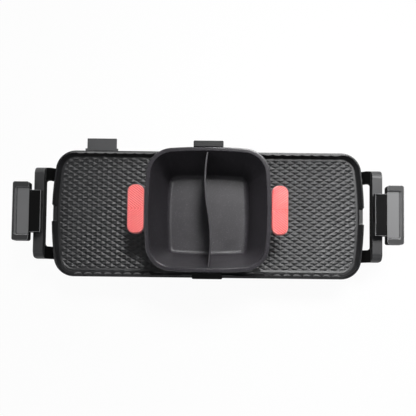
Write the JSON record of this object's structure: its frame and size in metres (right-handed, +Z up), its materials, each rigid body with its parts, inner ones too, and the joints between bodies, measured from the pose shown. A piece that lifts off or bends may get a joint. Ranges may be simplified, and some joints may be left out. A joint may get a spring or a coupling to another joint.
{
  "type": "electric grill with hot pot",
  "caption": "Long electric grill plate with a divided soup pot standing in its middle, fold-up grips on the end handles, front control knobs and a rear power inlet.",
  "frame": {"origin": "on the table, under the middle of the whole footprint", "axes": "+X along the grill plate to the right, +Y to the rear where the power inlet is, +Z up"},
  "size_m": [0.679, 0.2516, 0.14],
  "materials": {
    "cast_coating": "satin black non-stick coating on die-cast aluminium",
    "pot_coating": "grey-violet non-stick coating on die-cast aluminium",
    "silicone": "matt coral silicone",
    "black_resin": "fine satin black moulded resin",
    "grip_resin": "satin dark grey moulded resin",
    "inlay_resin": "satin mid-grey moulded resin",
    "inlet_resin": "satin grey moulded resin",
    "foot_rubber": "matt black rubber",
    "steel": "plain steel sheet and wire",
    "heater_tube": "dull heater sheath",
    "bare_aluminium": "turned aluminium",
    "brass": "bright brass",
    "lamp_lens": "clear red lens",
    "insulation": "pale heat-proof insulation",
    "wire_sleeve": "braided glass-fibre sleeve"
  },
  "bodies": {
    "base": {"base_shell": "black_resin", "bottom_cover": "black_resin", "cover_screws": "steel", "rubber_feet": "foot_rubber", "left_reflector": "steel", "right_reflector": "steel", "left_grill_heater": "heater_tube", "right_grill_heater": "heater_tube", "heater_saddles": "steel", "heating_plate_support": "steel", "pot_heating_plate": "bare_aluminium", "pot_heater_ring": "heater_tube", "sensor_holder": "steel", "sensor_spring": "steel", "thermal_fuse": "insulation", "control_panel": "black_resin", "indicator_lamps": "lamp_lens", "grill_thermostat": "insulation", "pot_thermostat": "insulation", "terminal_block": "insulation", "wiring": "wire_sleeve", "socket_shroud": "inlet_resin", "socket_insulator": "insulation", "socket_pins": "brass", "left_handle": "black_resin", "right_handle": "black_resin", "handle_screws": "steel"},
    "plate": {"grill_plate": "cast_coating"},
    "pot": {"pot_shell": "pot_coating", "pot_divider": "pot_coating", "left_ear_sleeve": "silicone", "right_ear_sleeve": "silicone", "front_lug": "black_resin", "rear_lug": "black_resin"},
    "left_grip": {"left_grip": "grip_resin", "left_grip_inlay": "inlay_resin", "left_hinge_pin": "steel"},
    "right_grip": {"right_grip": "grip_resin", "right_grip_inlay": "inlay_resin", "right_hinge_pin": "steel"},
    "grill_knob": {"grill_knob": "grip_resin", "grill_knob_shaft": "steel"},
    "pot_knob": {"pot_knob": "grip_resin", "pot_knob_shaft": "steel"},
    "sensor_button": {"sensor_button": "bare_aluminium"}
  },
  "joints": [
    {"name": "plate_lift", "type": "slide", "parent": "base", "child": "plate", "axis": [0, 0, 1], "range_m": [0, 0.06]},
    {"name": "pot_lift", "type": "slide", "parent": "plate", "child": "pot", "axis": [0, 0, 1], "range_m": [0, 0.12]},
    {"name": "left_grip_hinge", "type": "hinge", "parent": "base", "child": "left_grip", "pos_m": [-0.2969, -0.0105, 0.0892], "axis": [0, 1, 0], "range_deg": [0, 90]},
    {"name": "right_grip_hinge", "type": "hinge", "parent": "base", "child": "right_grip", "pos_m": [0.2969, -0.0105, 0.0892], "axis": [0, -1, 0], "range_deg": [0, 90]},
    {"name": "grill_knob_turn", "type": "hinge", "parent": "base", "child": "grill_knob", "pos_m": [-0.05503, -0.1085, 0.036], "axis": [0, 1, 0], "range_deg": [0, 270]},
    {"name": "pot_knob_turn", "type": "hinge", "parent": "base", "child": "pot_knob", "pos_m": [0.05503, -0.1085, 0.036], "axis": [0, 1, 0], "range_deg": [0, 270]},
    {"name": "sensor_press", "type": "slide", "parent": "base", "child": "sensor_button", "axis": [0, 0, 1], "range_m": [-0.002, 0], "stiffness_N_per_m": 300, "springref_m": 0.004, "deforming": ["sensor_spring"]}
  ]
}
